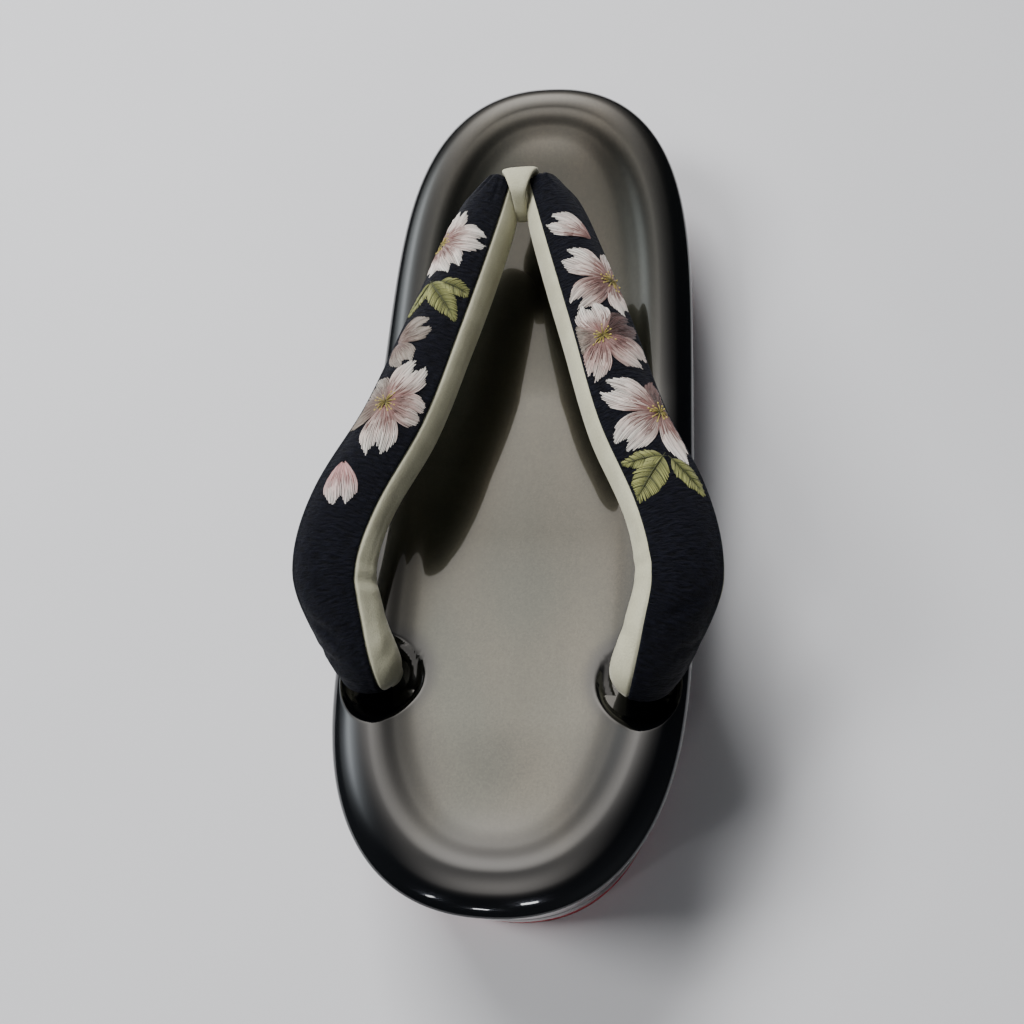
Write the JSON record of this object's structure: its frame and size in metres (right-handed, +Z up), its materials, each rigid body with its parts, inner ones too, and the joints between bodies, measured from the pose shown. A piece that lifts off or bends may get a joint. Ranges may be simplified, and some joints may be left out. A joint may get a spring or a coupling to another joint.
{
  "type": "zori sandal",
  "caption": "Dress zori: a layered enamel platform on a red sole, with a dished top board and padded crepe straps joined on a toe thong.",
  "frame": {"origin": "on the floor, under the middle of the sole's plan", "axes": "+Y towards the toe, +X to the wearer's right, +Z up; the sandal stands on its heel lift and outsole"},
  "size_m": [0.0979, 0.2386, 0.0631],
  "materials": {
    "red_rubber": "smooth, half matt",
    "black_enamel": "black enamel gloss",
    "pearl_enamel": "gunmetal pearl under a clear gloss",
    "cream_velvet": "cream velvet",
    "navy_crepe": "near-black crepe with a fine crimp"
  },
  "bodies": {
    "root": {"heel_lift": "red_rubber", "outsole": "red_rubber", "lower_layer": "black_enamel", "wedge": "black_enamel", "piping": "black_enamel", "top_board": "pearl_enamel", "strap_lining": "cream_velvet", "strap_cover_right": "navy_crepe", "strap_cover_left": "navy_crepe", "toe_thong": "cream_velvet"}
  },
  "joints": []
}
